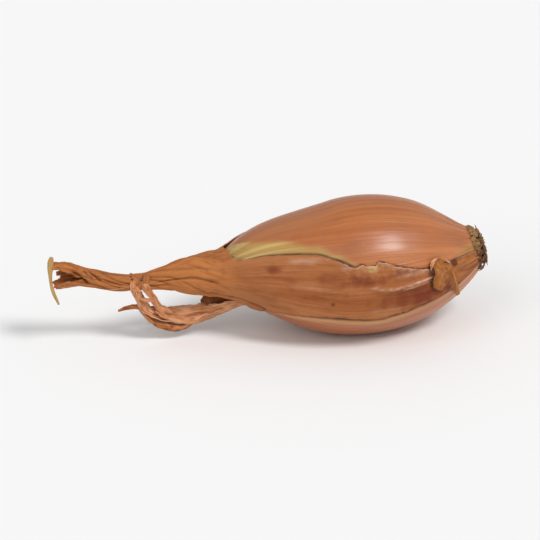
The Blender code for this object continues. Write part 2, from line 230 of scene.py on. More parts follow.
# Sharp folds of the dried neck and its shoulder: where each starts and ends, half its width, and its depth
NECK_GROOVES = (
    ((-74.6, 62), (-69.4, -30), 0.6, 0.7),
    ((-71.4, 95), (-66.6, 8), 0.5, 0.6),
    ((-67.4, 24), (-61, -4), 0.4, 0.35),
    ((-58.6, 80), (-57.4, -30), 0.4, 0.5),
    ((-57.6, 44), (-54.9, 30), 0.4, 0.5),
    ((-55.2, 74), (-54.4, -12), 0.4, 0.5),
    ((-44.5, 62), (-39.6, 34), 0.45, 0.25),
    ((-42, 84), (-37.6, 52), 0.45, 0.25),
    ((-41.4, 34), (-36.4, 12), 0.4, 0.22),
    ((-40.6, 62), (-35.8, 30), 0.35, 0.2),
    ((-38.6, 2), (-34.6, -16), 0.4, 0.2),
    ((-39.4, 96), (-35.4, 74), 0.4, 0.22),
    ((-38.6, -42), (-34, -45), 0.7, 0.55),
    ((-34, -45), (-24.6, -40), 0.6, 0.55),
)
# How pale the torn upper edge is
EDGE_PALENESS = Curve((-34, 0.5), (-28, 0.15), (-10, 0.2), (-5, 0.9), (13, 0.9), (20, 0.5), (30, 0.3))
# Raised creases along the front panel, which catch the light and are painted with highlights, and the neck's
# long fold
RIDGE_ANGLE = Curve((-1, 5), (0.7, 4.3), (5.9, 2), (10, 3.4), (13.9, 4.8), (16, 5.4), (19, 6.6))
UPPER_RIDGE_ANGLE = Curve((-23, 30), (-20, 31), (-16, 32), (-11, 30))
NECK_FOLD_ANGLE = Curve((-54, -2), (-48, 8), (-43.2, 14), (-39, 3), (-35, -3))

# The upper boundary of the pale bare band that the split leaves on the bulb
BARE_BAND_TOP = Curve(
    (-33.4, 112), (-31.5, 90), (-29.5, 77), (-27, 66), (-23, 57), (-18, 50), (-14.5, 44), (-10.4, 38.5),
    (-5.8, 31), (-2, 24),
)

# Places along the skin: the frayed end, the shoulder that the neck meets, and the last sharp fold
TAIL_START, TAIL_END = -68, -78.6
SHOULDER = -38
GROOVES_END = -24
# The panels end at SKIN_ROOT_END, unevenly from UNEVEN_END on
UNEVEN_END, SKIN_ROOT_END = 26, 29.7
SKIN_THICKNESS = 0.22
FLAKE_THICKNESS = 0.3
# The flake's near and far sides, the angle of its middle, and half its span
FLAKE_NEAR, FLAKE_FAR = 18.7, 19.2
FLAKE_ANGLE, FLAKE_HALF_SPAN = 6.6, 15.6

BULB_SIDES, BULB_RINGS = 300, 230
SKIN_STATIONS, FRONT_COLUMNS, BACK_COLUMNS = 250, 100, 72


def curve_at(points, before_first, after_last, share):
    """A point on the smooth curve through points, whose ends lean as the two extra points make them."""
    rows = [before_first, *points, after_last]
    place = 1 + share * (len(points) - 1)
    i = min(int(place), len(points) - 1)
    before, a, b, after = rows[i - 1 : i + 3]
    return hermite(a, b, (b - before) / 2, (after - a) / 2, 1, place - i)


def bulb_outline_at(share):
    """The (distance, radius) point of the bulb's outline, from the root end at 0 to the tip at 1."""
    points = [Vector((x, size * BULB_RADIUS)) for x, size in BULB_OUTLINE]
    mirror = Vector((1, -1))
    return curve_at(points, points[1] * mirror, points[-2] * mirror, share)


def path_at(points, share):
    """A point on the smooth path through points in space."""
    rows = [Vector(p) for p in points]
    return curve_at(rows, rows[0] * 2 - rows[1], rows[-1] * 2 - rows[-2], share)


BULB_SHAPE = Curve(*sorted(tuple(bulb_outline_at(i / 60)) for i in range(3, 61)))


def middle(x):
    return Vector((x, 0, MIDDLE_HEIGHT(x)))


def outward(x, angle):
    """The direction away from the middle line at x, at an angle round the shallot."""
    rise = MIDDLE_HEIGHT(round(x + 0.5, 2)) - MIDDLE_HEIGHT(round(x - 0.5, 2))
    up = Vector((-rise, 0, 1)).normalized()
    return Vector((0, -1, 0)) * cosine(angle) + up * sine(angle)


def along(x):
    """The direction of the middle line at x, towards the roots."""
    return outward(x, 90).cross(outward(x, 0))


def section(angle):
    """How far the bulb's cross-section departs from a circle at an angle round it."""
    return 1 + 0.014 * cosine(2 * angle - 110) + 0.01 * cosine(3 * angle + 40)


def grain_of(x, angle):
    """A place on a cylinder as wide as the bulb, whose X runs along the shallot."""
    return Vector((x, BULB_RADIUS * cosine(angle), BULB_RADIUS * sine(angle)))


def streaks(x, angle, length, width, seed=0):
    """Noise from -1 to 1 in streaks, of a length and a width in mm where the shallot is thickest."""
    place = grain_of(x, angle)
    return wobble(place.x / length + seed, place.y / width, place.z / width + seed)


def creases(x, angle, length, width, seed, sharpness=5):
    """Thin lines along the shallot: 1 in the middle of a line, and 0 away from it."""
    return max(0, 1 - sharpness * abs(streaks(x, angle, length, width, seed)))


def spot(x, angle, at_x, at_angle, reach_x, reach_angle, seed=0, core=0.35):
    """A patch with an uneven edge: 1 in its middle, up to a core share of its reach, and 0 outside."""
    turn = turn_from(at_angle, angle)
    size = math.hypot((x - at_x) / reach_x, turn / reach_angle)
    if size > 1.6:
        return 0
    uneven = 0.35 * wobble(x / 2.3 + seed, turn / 9, seed) + 0.2 * wobble(x / 0.9, turn / 3, seed)
    return ramp(1, core, size + uneven)


def stain_at(x, angle):
    """How stained the dry skin is, in streaks along it."""
    streaky = 1.1 + 0.5 * streaks(x, angle, 6, 0.9, 14)
    spots = 0
    for seed, (*place, strength) in enumerate(STAINS):
        spots += strength * spot(x, angle, *place, seed, -0.3)
    return 1 - math.exp(-2 * streaky * spots)


def pale_at(x, angle):
    """How much painted highlight a fold of the dry skin gets where it catches the light."""
    streaky = 1 + 0.8 * streaks(x, angle, 4, 0.7, 17)
    return streaky * sum(strength * spot(x, angle, *place, 0.7, -0.1) for *place, strength in PALE_FOLDS)


def groove(x, angle, start, end, half_width):
    """1 in the middle of a fold that runs straight from start to end over the neck, and 0 away from it."""
    stops = (start, end, (x, angle))
    a, b, place = (Vector((at, math.radians(turn) * NECK_RADIUS(at))) for at, turn in stops)
    share = max(0, min(1, (place - a).dot(b - a) / (b - a).length_squared))
    return hill(0, half_width, (place - a.lerp(b, share)).length)


# Building meshes


def mesh_with_marks(marks):
    """A new bmesh whose points carry a grain place and the named marks, which the materials read."""
    bm = bmesh.new()
    layers = {name: bm.verts.layers.float.new(name) for name in marks}
    layers["grain"] = bm.verts.layers.float_vector.new("grain")
    return bm, layers


def place_points(verts, layers, place):
    """Moves each point to where place puts it, and sets the grain and marks that place gives."""
    for vert in verts:
        point, grain, marks = place(vert.co)
        vert.co = in_frame(point)
        vert[layers["grain"]] = grain
        for name, value in marks.items():
            vert[layers[name]] = value


def add_sheet(bm, layers, stations, columns, place):
    """A grid bent into shape. place(u, v), from 0 to 1 along and across it, gives point, grain and marks."""
    made = bmesh.ops.create_grid(bm, x_segments=stations, y_segments=columns, size=1)
    place_points(made["verts"], layers, lambda at: place((at.x + 1) / 2, (at.y + 1) / 2))


def face_outwards(bm):
    """Turns all faces one way, and then away from the shallot's middle line."""
    bmesh.ops.recalc_face_normals(bm, faces=bm.faces)
    agree = 0
    for face in bm.faces:
        at = face.calc_center_median()
        centre = in_frame(middle(round(at.x / MM - TO_FRAME.x, 1)))
        agree += face.normal.dot(at - centre) * face.calc_area()
    if agree < 0:
        bmesh.ops.reverse_faces(bm, faces=bm.faces)


def finished(bm, name, node, material, thickness=0):
    """Makes the bmesh a piece that rides on the shallot and stands for its CAD node."""
    mesh = bpy.data.meshes.new(name)
    bm.to_mesh(mesh)
    bm.free()
    mesh.materials.append(material)
    mesh.shade_smooth()
    piece = bpy.data.objects.new(name, mesh)
    bpy.context.scene.collection.objects.link(piece)
    if thickness:
        wall = piece.modifiers.new("wall", "SOLIDIFY")
        wall.thickness = thickness * MM
        wall.offset = -1
    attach(piece, "root")
    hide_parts(node)


# The bulb


def root_creases(x, angle):
    """The creases that draw in towards the roots."""
    return creases(x, angle, 16, 4.5, 11.3, 4)


def tip_wrinkles(x, angle):
    """The small folds of the bare bulb where the skin has torn off near its tip."""
    return hill(-31.5, 4.5, x) * hill(66, 46, angle) * creases(x, angle + 7 * x, 9, 2.2, 31, 3)


def bulb_relief(x, angle):
    """The low unevenness of the bulb's satin skin, in mm."""
    broad = 0.16 * streaks(x, angle, 40, 9, 3.1) + 0.07 * streaks(x, angle, 26, 3.4, 8.2)
    fine = 0.03 * streaks(x, angle, 30, 1.3, 5.5)
    drawn_in = 0.35 * ramp(17, 29, x) * root_creases(x, angle)
    neck_ribs = 0.22 * ramp(-22, -34, x) * streaks(x, angle, 20, 5, 2.2)
    fade = ramp(ROOT_END, ROOT_END - 2, x) * ramp(BULB_TIP, BULB_TIP + 3, x)
    return (broad + fine - drawn_in + neck_ribs - 0.3 * tip_wrinkles(x, angle)) * fade


def bare_band(x, angle):
    """1 where the skin that split off has left the bulb pale."""
    top = BARE_BAND_TOP(x) + 3.5 * wobble(x / 4, 0.5, 3) + 1.2 * wobble(x, 2, 7)
    below_top = ramp(top + 5, top - 6, angle)
    over_panel = ramp(FRONT_UPPER_EDGE(x) - 14, FRONT_UPPER_EDGE(x) - 9, angle)
    return below_top * over_panel * ramp(0.5, -9, x)


def shaded_gap(x, lower, upper):
    """1 in the dark gaps under the front panel's edges, and round the root end, where shade is painted.

    lower and upper are the turns from those edges.
    """
    uneven = 0.75 + 0.6 * wobble(x / 2.2, 5, 1)
    reach = mixed(mixed(-6.6, -5.2, ramp(8, 14, x)), -9.5, hill(-24, 11, x))
    below = ramp(reach - 2.6 * uneven, reach + 1, lower) * ramp(4, 0, lower)
    width = ramp(-30, -26, x) * ramp(16, 4, x) * mixed(2, 0.5, ramp(-6, -2, x))
    above = ramp(1.6 + width, 0.7 + 0.5 * width, upper) * ramp(-9, -6, upper)
    at_roots = 0.9 * ramp(29.3, 30.4, x + 0.5 * uneven)
    return min(1, max(below * ramp(-33, -29, x), above * min(1, 0.2 + uneven), at_roots))


def place_on_bulb(at):
    share = math.acos(max(-1, min(1, at.z))) / math.pi
    angle = math.degrees(math.atan2(at.y, at.x)) % 360
    x, radius = bulb_outline_at(share)
    x = round(x, 4)
    point = middle(x) + outward(x, angle) * (radius * section(angle) + bulb_relief(x, angle))
    point.z = max(point.z, 0)
    lower = turn_from(FRONT_LOWER_EDGE(x), angle)
    upper = turn_from(FRONT_UPPER_EDGE(x), angle)
    bare_low = ramp(-25, -16, x) * mixed(0.35, 1, ramp(17, 6, x))
    marks = {
        "bare": bare_band(x, angle),
        "bare_low": hill(-10.5, 6.5, lower) * bare_low,
        "rosy": ramp(4, 26, x) * (0.6 + 0.4 * streaks(x, angle, 20, 6, 1.7)),
        "dull": spot(x, angle, -22, 80, 16, 34, 4.2) + 0.7 * spot(x, angle, 20, 76, 7, 12, 6),
        "gold": spot(x, angle, 27.4, 22, 3.4, 26, 1.4) + 0.8 * hill(28.9, 0.6, x) * hill(28, 34, angle),
        # Painted shade in the root creases and the tip's wrinkles
        "crease": ramp(17, 28, x) * root_creases(x, angle) + 0.8 * tip_wrinkles(x, angle),
        # Painted shade in the gaps under the panel's edges and round the root end
        "gap": shaded_gap(x, lower, upper),
    }
    return point, grain_of(x, angle), marks


def make_bulb(material):
    bm, layers = mesh_with_marks(("bare", "bare_low", "rosy", "dull", "gold", "crease", "gap"))
    made = bmesh.ops.create_uvsphere(bm, u_segments=BULB_SIDES, v_segments=BULB_RINGS, radius=1)
    place_points(made["verts"], layers, place_on_bulb)
    face_outwards(bm)
    finished(bm, "satin_bulb", "bulb", material)


# The papery skin


SKIN_MARKS = ("edge", "crease", "stain", "dot", "dry", "gold", "end", "straw", "light")


def ragged(x, seed):
    """The unevenness of a torn edge, in degrees."""
    waves = ((2.9, 0.8), (1.2, 0.55), (0.5, 0.45))
    return RAGGEDNESS(x) * sum(size * wobble(x / span, seed, 0.5) for span, size in waves)


def window_edges(x, start, length, first_edge, last_edge, seed):
    """The angles of a window's two torn edges at x, and how wide it has opened there, from 0 to 1."""
    first, last = first_edge(x), last_edge(x)
    wide = math.sqrt(min(1, max(0, (x - start) / length)))
    half = (last - first) / 2 * wide
    centre = (first + last) / 2
    return centre - half + wide * ragged(x, seed), centre + half + wide * ragged(x, seed + 7), wide


def dryness(x):
    """0 on the bulb's shoulder and 1 along the shrivelled neck."""
    return ramp(-27, -41, x)


def pleats(x, angle):
    """The shrivelled neck's long folds, as (depth in mm, shade painted in the fold's bottom)."""
    turned = angle + 5.5 * (x + 50)
    coarse = creases(x, turned, 15, 13, 21.7, 4.2)
    fine = 0.75 * creases(x, turned, 11, 5.2, 5.1, 4.5)
    thin = ramp(-43, -53, x)
    front = turn_from(0, angle)
    fold = hill(NECK_FOLD_ANGLE(x), 9, front) * ramp(-54, -51, x) * ramp(-35, -39, x)
    dry = dryness(x)
    depth = dry * (coarse**1.4 * mixed(0.3, 0.45, thin) + fine**1.3 * mixed(0.14, 0.22, thin)) + 0.45 * fold
    dark = dry * min(1, 0.7 * coarse**3 + 0.45 * fine**3) * mixed(0.6, 1, thin) + 0.8 * fold**2
    if x < GROOVES_END:
        for start, end, half_width, deep in NECK_GROOVES:
            inside = groove(x, front, start, end, half_width)
            depth += deep * inside
            dark += min(1, 1.6 * deep) * inside**1.5
    return depth, min(1, dark)


def tail_reach(angle):
    """How far the frayed end reaches at an angle: long above and below, and split at the front and back."""
    sides = abs(sine(angle)) ** 0.8
    split = mixed(0.22, 0.5, ramp(60, 120, abs(turn_from(0, angle))))
    torn = 0.16 * wobble(angle / 13, 3.3, 0) + 0.1 * wobble(angle / 4.5, 8.3, 0)
    return mixed(split, 0.98, sides) + torn


def skin_surface(x, angle, stand_off):
    """The radius of the skin's outer face, and the shade painted in its folds and ripples."""
    over_bulb = BULB_SHAPE(x) * section(angle) + stand_off
    neck = NECK_RADIUS(x)
    spread = ramp(-35.5, -30.5, x)
    depth, dark = pleats(x, angle)
    flat = 0.1 * dryness(x) * cosine(2 * angle - 180 + 5 * (x + 50))
    radius = mixed(neck * (1 + flat), over_bulb, spread) - depth
    ripples = wobble(x / 1.1, angle / 30, 4.4) * hill(SHOULDER, 7, x)
    papery = 0.14 * streaks(x, angle, 22, 5, 9.4) + 0.06 * wobble(x / 2.4, angle / 9, 1.1)
    return radius + 0.2 * ripples + papery, min(1, dark + 0.5 * max(0, -ripples - 0.2))


def front_ridges(x, angle, front):
    """The front panel's raised creases: height in mm, the highlight painted on them, the shade painted below
    them.
    """
    reach = ramp(-1.5, 2, x) * ramp(18.5, 15, x)
    off = front - RIDGE_ANGLE(x) - 0.8 * wobble(x / 2.4, 2.1, 3)
    upper = hill(0, 2.6, front - UPPER_RIDGE_ANGLE(x)) * ramp(-23, -20, x) * ramp(-10, -12, x)
    broken = streaks(x, angle, 2.4, 0.5, 6.1) + 0.5 * streaks(x, angle, 0.8, 0.4, 2.2)
    second = hill(-2.4, 1.6, off) * ramp(6, 10, x)
    glint = max(hill(0.3, 1.9, off), 0.6 * second) * reach * mixed(0.15, 1, ramp(-0.45, 0.5, broken))
    return 0.4 * hill(0, 3.6, off) * reach + 0.2 * upper, glint, 0.3 * hill(-4.2, 2.2, off) * reach


def place_on_skin(x, angle, upper, lower):
    """The skin's point, grain and marks. upper and lower are (angle to the torn edge, how opened it is)."""
    around = math.radians(1) * (BULB_SHAPE(x) if x > SHOULDER else NECK_RADIUS(x))
    to_upper, to_lower = max(0, upper[0]) * around, max(0, lower[0]) * around
    upper_wide, lower_wide = upper[1], lower[1]
    front = turn_from(0, angle)
    lie = 1 if abs(front) < 90 else BACK_EDGE_SHARE
    stand_off = PANEL_STAND_OFF
    stand_off += upper_wide * math.exp(-to_upper / 2.6) * (UPPER_EDGE_STAND_OFF(x) - PANEL_STAND_OFF) * lie
    stand_off += lower_wide * math.exp(-to_lower / 2.6) * (LOWER_EDGE_STAND_OFF(x) - PANEL_STAND_OFF) * lie
    ruffle = wobble(x / 2.1, 0.3, 2) + 0.6 * wobble(x / 0.9, 4.3, 2)
    crumpled = ramp(-14, -3, x)
    stand_off += 0.3 * ruffle * max(
        upper_wide * math.exp(-to_upper / 0.9) * crumpled,
        0.6 * lower_wide * math.exp(-to_lower / 0.9),
    )
    crumple = wobble(x / 1.1, to_upper / 0.7, 7) * upper_wide * math.exp(-to_upper / 1.8) * crumpled
    ridge, glint, shade_below_ridge = front_ridges(x, angle, front)
    # The pit: a shallow dent, painted dark as the shade inside a hole
    pit = spot(x, angle, 22.9, 13, 1.2, 5.6, 2, 0.7)
    # Painted shadow beside the flake's raised near side and below its lower end
    flake_shadow = spot(x, angle, 15.9, 7.5, 0.9, 12, 5) + spot(x, angle, 20.9, -13, 1.3, 4, 7)
    drawn_in = ramp(20, 25, x) * creases(x, angle + 1.5 * x, 12, 3.4, 41, 4)
    stand_off += ridge - 0.5 * pit + 0.3 * crumple - 0.25 * drawn_in
    radius, dark = skin_surface(x, angle, stand_off)
    patchy = 0.65 + 0.9 * wobble(x / 1.7, 3.1, 9)
    paleness = EDGE_PALENESS(x) if 0 < front < 90 else 0.3
    edge = patchy * upper_wide * math.exp(-to_upper / 0.3) * paleness + 0.5 * paleness * max(0, crumple)
    # Painted shadow: a dark line just under the torn edges, where they stand off the bulb
    shadow_under_upper_edge = (1 - EDGE_PALENESS(x)) * upper_wide * math.exp(-to_upper / 0.2)
    under = max(lower_wide * math.exp(-to_lower / 0.3), shadow_under_upper_edge)
    marks = {
        # Pale torn edges, with painted highlights on the crumples' crests, along the ridges and on folds
        # that catch the light
        "edge": min(1, edge + glint + pale_at(x, angle)) * (1 - pit),
        # Painted shade in the folds, under the torn edges, below the ridges, in the crumples and in the
        # drawn-in creases
        "crease": min(1, dark + 0.6 * under + shade_below_ridge + 0.8 * max(0, -crumple) + 0.6 * drawn_in),
        "stain": stain_at(x, angle),
        # A dark red dot, with painted shade in the pit and painted shadow beside the flake
        "dot": min(1, spot(x, angle, -9.4, -8.5, 0.75, 2.6, 0.3) + 1.5 * pit + 0.9 * flake_shadow),
        "dry": dryness(x),
        "straw": 0.7 * spot(x, angle, 0.4, 20.5, 2.4, 3.4, 8),
        "gold": spot(x, angle, 27.2, 12, 3, 9, 1.4) + 0.5 * spot(x, angle, 23.6, 3, 1.6, 14, 1),
        "end": ramp(-66, -76, x),
    }
    return middle(x) + outward(x, angle) * radius, grain_of(x, angle), marks


def make_papery_skin(material):
    """The neck and the front and back panels, joined along the neck and torn apart over the bulb."""
    bm, layers = mesh_with_marks(SKIN_MARKS)

    def place(u, v, back):
        x = round(mixed(TAIL_END, SKIN_ROOT_END, u), 3)
        front_upper, back_upper, upper_wide = window_edges(x, *UPPER_WINDOW)
        back_lower, front_lower, lower_wide = window_edges(x, *BELLY_WINDOW)
        first, last = (back_upper, back_lower) if back else (front_lower - 360, front_upper)
        angle = mixed(first, last, mixed(v, (1 - math.cos(math.pi * v)) / 2, 0.45))
        to_first, to_last = angle - first, last - angle
        upper, lower = (to_first, to_last) if back else (to_last, to_first)
        if x < TAIL_START:
            x = TAIL_START + (x - TAIL_START) * tail_reach(angle % 360)
        elif x > UNEVEN_END:
            x += (x - UNEVEN_END) * 0.25 * wobble(angle / 5, 1.2, 0)
        return place_on_skin(x, angle, (upper, upper_wide), (lower, lower_wide))

    add_sheet(bm, layers, SKIN_STATIONS, FRONT_COLUMNS, lambda u, v: place(u, v, False))
    add_sheet(bm, layers, SKIN_STATIONS, BACK_COLUMNS, lambda u, v: place(u, v, True))
    bmesh.ops.remove_doubles(bm, verts=bm.verts, dist=0.002 * MM)
    face_outwards(bm)
    finished(bm, "papery_skin", "outer_skin", material, SKIN_THICKNESS)


def on_skin(x, angle, above):
    radius, _ = skin_surface(x, angle, PANEL_STAND_OFF)
    return middle(x) + outward(x, angle) * (radius + above)


def add_peel(bm, layers, path, widths, face, seed, last_face=None, turn=0, curl=0.7, ruffle=0.25,
             cuts=(44, 8), gold=0, straw=0, light=0, dark=0.5, torn=0.2):
    """A thin strip of dry skin along a path, curled across, ruffled, with torn edges.

    Its flat side looks along face, and by its end along last_face if given. It twists by turn degrees.
    """
    width_at = Curve(*[(k / (len(widths) - 1), width) for k, width in enumerate(widths)])
    length = sum((Vector(a) - Vector(b)).length for a, b in zip(path, path[1:]))

    def place(u, v):
        across_share = 2 * v - 1
        heading = (path_at(path, min(u + 0.02, 1)) - path_at(path, max(u - 0.02, 0))).normalized()
        flat = Vector(face).lerp(Vector(last_face or face), u**3)
        flat = (flat - heading * flat.dot(heading)).normalized()
        across = heading.cross(flat)
        side = across * cosine(turn * u) + flat * sine(turn * u)
        normal = flat * cosine(turn * u) - across * sine(turn * u)
        far = length * u
        rough = wobble(far / 1.5, seed, across_share) + 0.5 * wobble(far / 0.8, seed, 5)
        half = width_at(u) / 2 * (1 + torn * rough * abs(across_share))
        bend = curl * across_share
        wave = wobble(far / 4.2 + seed, across_share * width_at(u) / 1.8, seed)
        crinkle = wobble(far / 1.6 + seed, across_share * width_at(u) / 0.9, seed + 3)
        height = ruffle * (wave + 0.45 * crinkle) - half * (1 - math.cos(bend)) / curl
        point = path_at(path, u) + side * half * math.sin(bend) / curl + normal * height
        folded = max(0, 1 - 4 * abs(wave)) ** 2 + max(0, -crinkle)
        marks = {
            "edge": ramp(0.72, 1, abs(across_share)) * (0.5 + 0.5 * rough),
            # Painted shade in the strip's folds, and over all of it where dark is above 1
            "crease": min(1, max(0, dark - 1) + dark * folded),
            "dry": 1,
            "gold": gold,
            "end": 0.4 * (1 - light),
            "straw": straw,
            # Pale tan, laid most on the crests as painted highlight
            "light": light * min(1, max(0, 0.6 + 0.9 * wave + 0.5 * crinkle)),
        }
        return point, Vector((far + 20 * seed, across_share * width_at(u) / 2 * 5, 9 * seed)), marks

    add_sheet(bm, layers, *cuts, place)


FRONT = (0, -1, 0.3)


def add_hanging_loop(bm, layers):
    """The torn strip that leaves the neck in two legs, hangs in a loop and goes back under the shoulder."""
    bottom = [(-56.2, -1.6, 12.6), (-54.6, -1, 9), (-51, 0, 6.6), (-46.8, 0.7, 5.6), (-42.6, 0.9, 5.8)]
    rise = [(-38.6, 0.3, 6.4), (-35, -0.5, 7.5), (-31.6, -0.8, 8.3), (-28.2, -0.6, 8.6)]
    left_leg = [(-57.9, -1.9, 18.2), (-57.9, -2.5, 16.6), (-57.2, -2.2, 14.8)]
    right_leg = [(-55.6, -1.9, 18), (-54.8, -2.4, 16.2), (-53.2, -1.8, 13.4), (-51.4, -1.1, 10.2)]
    add_peel(bm, layers, [*left_leg, *bottom, *rise],
             (1.6, 2.6, 2.8, 2.8, 3.4, 5.6, 6.8, 6.6, 5.6, 4.8, 4.4, 3.4), FRONT, 1,
             last_face=(0, -0.5, -0.8), curl=0.9, ruffle=0.45, cuts=(110, 16), light=1, dark=0.3, torn=0.1)
    inner = [(x, y + 0.5, z + 0.4) for x, y, z in (left_leg[-1], *bottom, *rise[:2])]
    add_peel(bm, layers, inner, (1.6, 2.2, 3, 4, 4.2, 3.6, 2.4, 1.6), (0, -1, 0.9), 2,
             curl=-0.9, ruffle=0.6, cuts=(70, 12), turn=25, light=0.8, dark=0.35)
    joining = [*right_leg, (-48.6, 0.2, 7.6), *bottom[3:], rise[0]]
    add_peel(bm, layers, joining, (1.4, 2.4, 2.2, 2.4, 2.8, 3, 2.6, 1.4), FRONT, 3,
             turn=35, curl=0.9, ruffle=0.35, cuts=(64, 10), light=0.8, dark=0.4)
    rim = [(-55.2, -1.2, 8.6), (-52.6, -1, 5.4), (-49, -0.8, 3.7), (-45.4, -0.4, 3.2), (-42, -0.2, 4.3)]
    add_peel(bm, layers, rim, (0.8, 1.9, 2.4, 2.2, 0.6), (0, -1, -0.2), 4,
             curl=1.1, ruffle=0.55, cuts=(50, 8), dark=1, light=0.3, torn=0.35)
    fold = [(-52.4, -1.4, 9), (-49.6, -1.2, 7.2), (-46, -0.9, 5.7), (-42.4, -0.7, 5.3), (-38.8, -0.6, 6.8)]
    add_peel(bm, layers, fold, (0.6, 1.6, 2, 2, 0.8), (0, -1, 0.6), 5,
             curl=1, ruffle=0.3, turn=-20, cuts=(50, 8), dark=0.4, light=1)
    bridge = [(-56.9, -1.6, 13.2), (-55, -2.2, 12.7), (-52.8, -1.6, 12.2)]
    add_peel(bm, layers, bridge, (1.2, 1, 1.3), FRONT, 6, cuts=(14, 5), light=0.6)
    # The web: a sheet painted dark all over, standing for the shade between the loop and the shoulder
    web = [(-40.4, 0.9, 9.8), (-38.2, 1, 10), (-34.6, 0.9, 9.7), (-31, 0.8, 9.4)]
    add_peel(bm, layers, web, (0.8, 4.6, 4.4, 3.6), FRONT, 8, curl=0.4, cuts=(30, 10), dark=1.8)
    tongue = [(-55.2, -0.9, 9.9), (-57.4, -0.8, 10.4), (-59.6, -0.4, 10), (-61.8, 0, 9.2)]
    add_peel(bm, layers, tongue, (2, 1.7, 1.5, 0.7), FRONT, 7, curl=1.2, cuts=(26, 7), dark=0.9)


def add_neck_shreds(bm, layers):
    """The shreds that wind round the dried neck, at its knot and near its frayed end."""
    shreds = (
        ((-58.6, 100, 0.3), (-57.4, 50, 0.5), (-56.8, 5, 0.4), (-56.6, -50, 0.3), 1.7),
        ((-53.4, 120, 0.2), (-54.4, 60, 0.5), (-55, 20, 0.6), (-55.6, -30, 0.3), 1.5),
        ((-73.6, 92, 0), (-71.8, 66, 0.2), (-70, 34, 0.2), (-67.6, -6, 0), 1.5),
        ((-66, -70, 0), (-62.6, -50, 0.3), (-59.8, -35, 0.3), (-57, -30, 0.1), 1.4),
        ((-64, 200, 0.1), (-60, 180, 0.4), (-56, 170, 0.4), (-52, 185, 0.1), 1.8),
    )
    for number, (*stops, width) in enumerate(shreds):
        path = [on_skin(*stop) for stop in stops]
        add_peel(bm, layers, path, (0.5, width, width, 0.5), outward(*stops[1][:2]), 10 + number,
                 last_face=outward(*stops[3][:2]), curl=0.5, ruffle=0.12, cuts=(26, 6), dark=0.8)


def add_frayed_end(bm, layers):
    """The pale fibre and the tongues at the neck's end."""
    fibre = [(-78.8, -1.8, 26.2), (-79.1, -1.9, 24.1), (-79.2, -2.1, 21), (-78.8, -2.2, 17.6),
             (-77.2, -2.4, 13.2)]
    add_peel(bm, layers, fibre, (0.9, 1.8, 1.7, 1.2, 0.9, 1.1, 0.6), FRONT, 20,
             curl=1, ruffle=0.15, cuts=(60, 6), straw=0.9, dark=0.3)
    upper = [(-69, -0.8, 20.6), (-72.6, -1.3, 22.6), (-76.2, -1.5, 23.6), (-79.3, -1.7, 23)]
    add_peel(bm, layers, upper, (1.8, 2.6, 2.6, 1), (0, -1, 0.7), 21, curl=1.1, ruffle=0.3, cuts=(34, 9))
    lower = [(-68.6, -1, 18), (-72.5, -1.4, 17.8), (-75.7, -1.5, 17.5), (-77.8, -1.4, 17.2)]
    add_peel(bm, layers, lower, (1.8, 2.4, 2.2, 1), (0, -1, -0.4), 22,
             curl=1.1, ruffle=0.3, cuts=(34, 9), light=0.5)
    back = [(-69, 1, 19.2), (-73.2, 1.8, 20.4), (-77.2, 1.9, 20)]
    add_peel(bm, layers, back, (2, 2.4, 1.2), (0, 1, 0.2), 23, curl=0.9, ruffle=0.3, cuts=(28, 8))


def make_torn_strips(material):
    bm, layers = mesh_with_marks(SKIN_MARKS)
    add_hanging_loop(bm, layers)
    add_neck_shreds(bm, layers)
    add_frayed_end(bm, layers)
    bmesh.ops.recalc_face_normals(bm, faces=bm.faces)
    finished(bm, "torn_strips", "outer_skin", material, SKIN_THICKNESS)


# The flake near the roots


